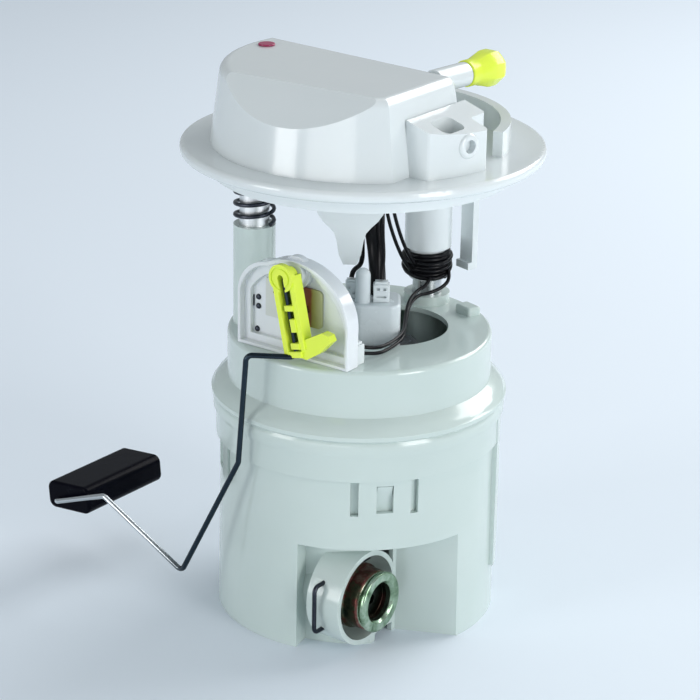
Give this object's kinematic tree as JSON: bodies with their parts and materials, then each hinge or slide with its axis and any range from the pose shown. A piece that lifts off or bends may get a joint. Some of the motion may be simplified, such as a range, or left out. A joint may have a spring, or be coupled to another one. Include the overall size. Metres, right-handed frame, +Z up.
{
  "type": "fuel pump module",
  "caption": "In-tank fuel pump module: round flange with filter dome and outlet, sprung guides, reservoir pot with pump, and a level sender with a float on a bent wire arm.",
  "frame": {"origin": "on the pot's axis, in the plane of the tank floor that its feet stand on", "axes": "+Z up along the pot's axis, +X the way the pressure regulator points, -Y the way the level sender faces"},
  "size_m": [0.1908, 0.144, 0.2302],
  "materials": {
    "white_plastic": "moulded white, slightly glossy",
    "clear_white_plastic": "translucent white",
    "grey_plastic": "satin",
    "yellow_plastic": "bright yellow green",
    "red_plastic": "dark red",
    "black_rubber": "matt black",
    "black_foam": "fine closed-cell foam",
    "steel": "drawn steel",
    "dark_spring_steel": "oiled spring steel",
    "zinc_chromate": "yellow-green iridescent zinc chromate",
    "brass": "bright",
    "copper_wound": "wound copper and iron",
    "ceramic_card": "thick-film card",
    "filter_paper": "pleated paper"
  },
  "bodies": {
    "reservoir": {"reservoir_pot": "white_plastic", "reservoir_cover": "white_plastic", "pump_bucket": "white_plastic", "pump_mount": "black_rubber", "pump_casing": "steel", "pump_inlet": "grey_plastic", "pump_magnets": "black_foam", "pump_end_cap": "grey_plastic", "inlet_strainer": "filter_paper", "inlet_valve": "black_rubber", "jet_pump": "grey_plastic", "regulator_body": "zinc_chromate", "regulator_seals": "black_rubber", "regulator_clip": "dark_spring_steel", "sender_housing": "clear_white_plastic", "resistor_card": "ceramic_card", "resistor_track": "copper_wound", "sender_terminals": "steel", "sender_plug": "clear_white_plastic", "pump_plug_right": "clear_white_plastic", "pump_plug_left": "clear_white_plastic"},
    "flange_body": {"flange": "white_plastic", "filter_cover": "white_plastic", "marker_plug": "red_plastic", "filter_element": "filter_paper", "connector_pins": "brass", "guide_rod_left": "white_plastic", "guide_rod_right": "white_plastic", "guide_spring_left": "dark_spring_steel", "guide_spring_right": "dark_spring_steel", "lead_coil": "black_rubber", "feed_hose": "black_rubber", "pump_lead_right": "black_rubber", "pump_lead_left": "black_rubber", "sender_leads_upper": "black_rubber", "sender_leads_lower": "black_rubber"},
    "outlet_cap_body": {"outlet_cap": "yellow_plastic"},
    "lever": {"lever_carrier": "yellow_plastic", "wiper_contact": "brass", "float_arm": "steel"},
    "float_body": {"float": "black_foam"},
    "rotor": {"pump_rotor": "copper_wound", "pump_impeller": "grey_plastic"}
  },
  "joints": [
    {"name": "flange_slide", "type": "slide", "parent": "reservoir", "child": "flange_body", "axis": [0, 0, -1], "range_m": [0, 0.006], "stiffness_N_per_m": 1500, "springref_m": -0.01, "deforming": ["guide_spring_left", "guide_spring_right", "feed_hose", "pump_lead_right", "pump_lead_left", "sender_leads_lower"]},
    {"name": "outlet_cap_pull", "type": "slide", "parent": "flange_body", "child": "outlet_cap_body", "axis": [0.1045, 0.9945, 0], "range_m": [0, 0.025]},
    {"name": "lever_hinge", "type": "hinge", "parent": "reservoir", "child": "lever", "pos_m": [0.0004, -0.0456, 0.1525], "axis": [0, 1, 0], "range_deg": [0, 62]},
    {"name": "float_hinge", "type": "hinge", "parent": "lever", "child": "float_body", "pos_m": [-0.112, -0.0357, 0.0313], "axis": [0, 1, 0], "range_deg": [-65, 0]},
    {"name": "rotor_spin", "type": "hinge", "parent": "reservoir", "child": "rotor", "pos_m": [0.006, 0, 0.06], "axis": [0, 0, 1], "continuous": true}
  ]
}
